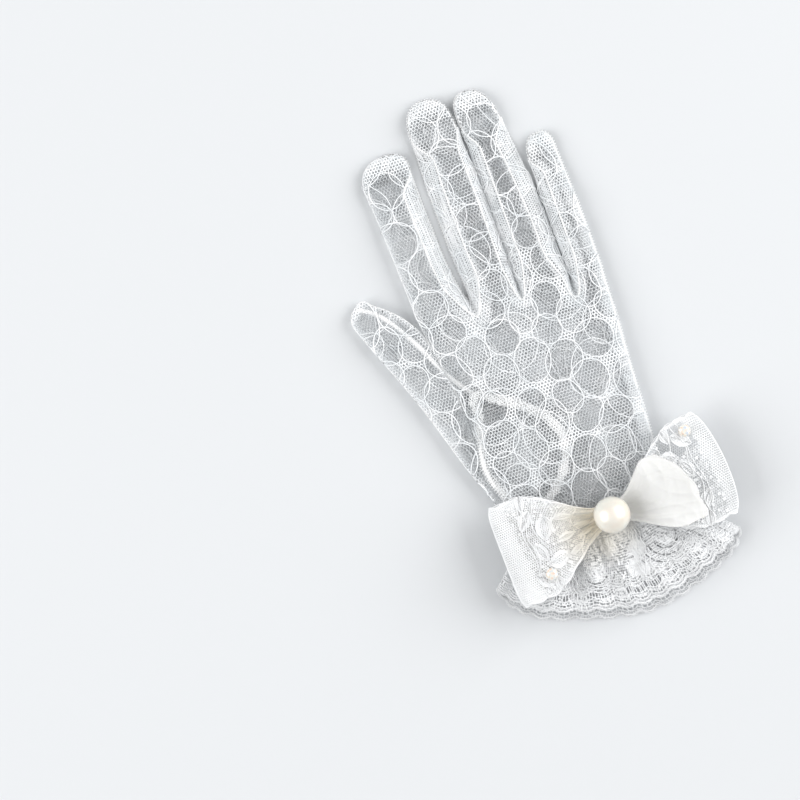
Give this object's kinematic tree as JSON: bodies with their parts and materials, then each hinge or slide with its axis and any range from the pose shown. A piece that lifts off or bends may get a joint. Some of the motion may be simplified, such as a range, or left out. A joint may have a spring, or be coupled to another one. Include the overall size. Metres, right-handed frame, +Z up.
{
  "type": "lace glove",
  "caption": "Short dress glove of patterned lace with a set-in thumb, a gathered lace ruffle at the wrist, and a lace and organza bow with a pearl on its back.",
  "frame": {"origin": "middle of the glove's outline seen from above, at the surface that it lies on", "axes": "+Y from the wrist to the fingertips, +X from the thumb towards the little finger, +Z up through the back of the hand"},
  "size_m": [0.1162, 0.2113, 0.031],
  "materials": {
    "net": "matte white hexagonal net with corded rings",
    "trim_lace": "soft white floral lace with a scalloped edge",
    "organza": "sheer satin-like white organza",
    "pearl": "glossy cream-white pearl coat",
    "crystal": "clear faceted stone with an iridescent coat"
  },
  "bodies": {
    "root": {"hand_back": "net", "hand_palm": "net", "fourchette_index_middle": "net", "fourchette_middle_ring": "net", "fourchette_ring_little": "net", "thumb_back": "net", "thumb_front": "net", "ruffle": "trim_lace", "lace_loop_left": "trim_lace", "organza_loop_left": "organza", "lace_loop_right": "trim_lace", "organza_loop_right": "organza", "bow_knot": "organza", "pearl": "pearl", "stone_left": "crystal", "stone_right": "crystal"}
  },
  "joints": []
}
